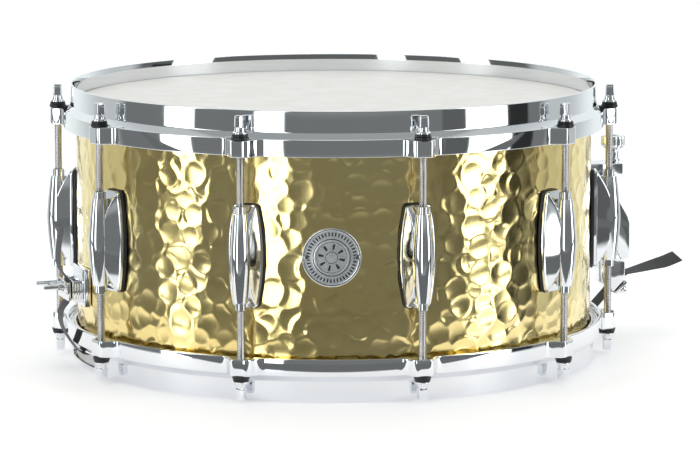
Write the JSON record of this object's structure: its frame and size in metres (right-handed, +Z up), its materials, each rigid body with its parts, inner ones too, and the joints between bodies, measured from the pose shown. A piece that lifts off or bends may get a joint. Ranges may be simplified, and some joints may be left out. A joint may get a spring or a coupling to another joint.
{
  "type": "snare drum",
  "caption": "Free-standing snare drum: hammered brass shell between two heads in die-cast hoops, with lugs, tension rods, snare wires and a throw-off strainer.",
  "frame": {"origin": "on the drum's axis, in the plane of the snare-side rim that the drum stands on", "axes": "+Z up along the drum's axis towards the batter head; -Y is the front with the badge; +X is the player's right when looking at the badge"},
  "size_m": [0.451, 0.378, 0.1904],
  "materials": {
    "hammered_brass": "hammered, polished and lacquered",
    "chrome_plate": "mirror chrome plate",
    "aluminium_hoop": "plain extruded",
    "coated_film": "matt white sprayed coating with a fine grain",
    "clear_film": "thin hazy clear film",
    "black_rubber": "moulded, satin",
    "snare_steel": "coiled wire and stamped plate",
    "black_ribbon": "woven ribbed ribbon",
    "brushed_nickel": "brushed face with dark etched rings"
  },
  "bodies": {
    "drum_body": {"shell": "hammered_brass", "batter_hoop": "chrome_plate", "snare_side_hoop": "chrome_plate", "batter_head": "coated_film", "snare_side_head": "clear_film", "batter_flesh_hoop": "aluminium_hoop", "snare_side_flesh_hoop": "aluminium_hoop", "badge": "brushed_nickel", "strainer_base": "chrome_plate", "strainer_pivot_pin": "chrome_plate", "butt_base": "chrome_plate", "butt_clamp_plate": "chrome_plate", "butt_strap": "black_ribbon", "lug_01": "chrome_plate", "lug_02": "chrome_plate", "lug_03": "chrome_plate", "lug_04": "chrome_plate", "lug_05": "chrome_plate", "lug_06": "chrome_plate", "lug_07": "chrome_plate", "lug_08": "chrome_plate", "lug_09": "chrome_plate", "lug_10": "chrome_plate", "lug_gasket_01": "black_rubber", "lug_gasket_02": "black_rubber", "lug_gasket_03": "black_rubber", "lug_gasket_04": "black_rubber", "lug_gasket_05": "black_rubber", "lug_gasket_06": "black_rubber", "lug_gasket_07": "black_rubber", "lug_gasket_08": "black_rubber", "lug_gasket_09": "black_rubber", "lug_gasket_10": "black_rubber"},
    "strainer_lever": {"strainer_lever": "chrome_plate"},
    "strainer_carriage": {"strainer_carriage": "chrome_plate"},
    "strainer_knob": {"strainer_knob": "chrome_plate"},
    "strap_clamp": {"strainer_clamp_block": "chrome_plate", "strainer_clamp_plate": "chrome_plate", "strainer_strap": "black_ribbon"},
    "snare_wires": {"snare_wires": "snare_steel"},
    "batter_rod_01": {"batter_rod_01": "chrome_plate"},
    "batter_rod_02": {"batter_rod_02": "chrome_plate"},
    "batter_rod_03": {"batter_rod_03": "chrome_plate"},
    "batter_rod_04": {"batter_rod_04": "chrome_plate"},
    "batter_rod_05": {"batter_rod_05": "chrome_plate"},
    "batter_rod_06": {"batter_rod_06": "chrome_plate"},
    "batter_rod_07": {"batter_rod_07": "chrome_plate"},
    "batter_rod_08": {"batter_rod_08": "chrome_plate"},
    "batter_rod_09": {"batter_rod_09": "chrome_plate"},
    "batter_rod_10": {"batter_rod_10": "chrome_plate"},
    "snare_side_rod_01": {"snare_side_rod_01": "chrome_plate"},
    "snare_side_rod_02": {"snare_side_rod_02": "chrome_plate"},
    "snare_side_rod_03": {"snare_side_rod_03": "chrome_plate"},
    "snare_side_rod_04": {"snare_side_rod_04": "chrome_plate"},
    "snare_side_rod_05": {"snare_side_rod_05": "chrome_plate"},
    "snare_side_rod_06": {"snare_side_rod_06": "chrome_plate"},
    "snare_side_rod_07": {"snare_side_rod_07": "chrome_plate"},
    "snare_side_rod_08": {"snare_side_rod_08": "chrome_plate"},
    "snare_side_rod_09": {"snare_side_rod_09": "chrome_plate"},
    "snare_side_rod_10": {"snare_side_rod_10": "chrome_plate"}
  },
  "joints": [
    {"name": "batter_rod_01_turn", "type": "hinge", "parent": "drum_body", "child": "batter_rod_01", "pos_m": [0.05881, -0.18099, 0.185], "axis": [0, 0, 1], "continuous": true},
    {"name": "batter_rod_02_turn", "type": "hinge", "parent": "drum_body", "child": "batter_rod_02", "pos_m": [0.15396, -0.11186, 0.185], "axis": [0, 0, 1], "continuous": true},
    {"name": "batter_rod_03_turn", "type": "hinge", "parent": "drum_body", "child": "batter_rod_03", "pos_m": [0.1903, 0, 0.185], "axis": [0, 0, 1], "continuous": true},
    {"name": "batter_rod_04_turn", "type": "hinge", "parent": "drum_body", "child": "batter_rod_04", "pos_m": [0.15396, 0.11186, 0.185], "axis": [0, 0, 1], "continuous": true},
    {"name": "batter_rod_05_turn", "type": "hinge", "parent": "drum_body", "child": "batter_rod_05", "pos_m": [0.05881, 0.18099, 0.185], "axis": [0, 0, 1], "continuous": true},
    {"name": "batter_rod_06_turn", "type": "hinge", "parent": "drum_body", "child": "batter_rod_06", "pos_m": [-0.05881, 0.18099, 0.185], "axis": [0, 0, 1], "continuous": true},
    {"name": "batter_rod_07_turn", "type": "hinge", "parent": "drum_body", "child": "batter_rod_07", "pos_m": [-0.15396, 0.11186, 0.185], "axis": [0, 0, 1], "continuous": true},
    {"name": "batter_rod_08_turn", "type": "hinge", "parent": "drum_body", "child": "batter_rod_08", "pos_m": [-0.1903, 0, 0.185], "axis": [0, 0, 1], "continuous": true},
    {"name": "batter_rod_09_turn", "type": "hinge", "parent": "drum_body", "child": "batter_rod_09", "pos_m": [-0.15396, -0.11186, 0.185], "axis": [0, 0, 1], "continuous": true},
    {"name": "batter_rod_10_turn", "type": "hinge", "parent": "drum_body", "child": "batter_rod_10", "pos_m": [-0.05881, -0.18099, 0.185], "axis": [0, 0, 1], "continuous": true},
    {"name": "snare_side_rod_01_turn", "type": "hinge", "parent": "drum_body", "child": "snare_side_rod_01", "pos_m": [0.05881, -0.18099, 0.0054], "axis": [0, 0, 1], "continuous": true},
    {"name": "snare_side_rod_02_turn", "type": "hinge", "parent": "drum_body", "child": "snare_side_rod_02", "pos_m": [0.15396, -0.11186, 0.0054], "axis": [0, 0, 1], "continuous": true},
    {"name": "snare_side_rod_03_turn", "type": "hinge", "parent": "drum_body", "child": "snare_side_rod_03", "pos_m": [0.1903, 0, 0.0054], "axis": [0, 0, 1], "continuous": true},
    {"name": "snare_side_rod_04_turn", "type": "hinge", "parent": "drum_body", "child": "snare_side_rod_04", "pos_m": [0.15396, 0.11186, 0.0054], "axis": [0, 0, 1], "continuous": true},
    {"name": "snare_side_rod_05_turn", "type": "hinge", "parent": "drum_body", "child": "snare_side_rod_05", "pos_m": [0.05881, 0.18099, 0.0054], "axis": [0, 0, 1], "continuous": true},
    {"name": "snare_side_rod_06_turn", "type": "hinge", "parent": "drum_body", "child": "snare_side_rod_06", "pos_m": [-0.05881, 0.18099, 0.0054], "axis": [0, 0, 1], "continuous": true},
    {"name": "snare_side_rod_07_turn", "type": "hinge", "parent": "drum_body", "child": "snare_side_rod_07", "pos_m": [-0.15396, 0.11186, 0.0054], "axis": [0, 0, 1], "continuous": true},
    {"name": "snare_side_rod_08_turn", "type": "hinge", "parent": "drum_body", "child": "snare_side_rod_08", "pos_m": [-0.1903, 0, 0.0054], "axis": [0, 0, 1], "continuous": true},
    {"name": "snare_side_rod_09_turn", "type": "hinge", "parent": "drum_body", "child": "snare_side_rod_09", "pos_m": [-0.15396, -0.11186, 0.0054], "axis": [0, 0, 1], "continuous": true},
    {"name": "snare_side_rod_10_turn", "type": "hinge", "parent": "drum_body", "child": "snare_side_rod_10", "pos_m": [-0.05881, -0.18099, 0.0054], "axis": [0, 0, 1], "continuous": true},
    {"name": "lever_swing", "type": "hinge", "parent": "drum_body", "child": "strainer_lever", "pos_m": [0.1808, 0.05874, 0.111], "axis": [0.309, -0.9511, 0], "range_deg": [0, 90]},
    {"name": "carriage_drop", "type": "slide", "parent": "drum_body", "child": "strainer_carriage", "axis": [0, 0, -1], "range_m": [0, 0.004]},
    {"name": "knob_turn", "type": "hinge", "parent": "strainer_carriage", "child": "strainer_knob", "pos_m": [0.19734, 0.06412, 0.14], "axis": [0, 0, 1], "range_deg": [-720, 720]},
    {"name": "clamp_travel", "type": "slide", "parent": "strainer_carriage", "child": "strap_clamp", "axis": [0, 0, 1], "range_m": [-0.0016, 0.0016], "deforming": ["strainer_strap"]},
    {"name": "snares_drop", "type": "hinge", "parent": "drum_body", "child": "snare_wires", "pos_m": [-0.15787, -0.0513, 0.0108], "axis": [-0.309, 0.9511, 0], "range_deg": [0, 0.6903]}
  ],
  "couplings": [
    {"joint": "lever_swing", "follows": "carriage_drop", "rad_per_m": 392.7},
    {"joint": "snares_drop", "follows": "carriage_drop", "rad_per_m": 3.0118},
    {"joint": "knob_turn", "follows": "clamp_travel", "rad_per_m": -7853.9}
  ]
}
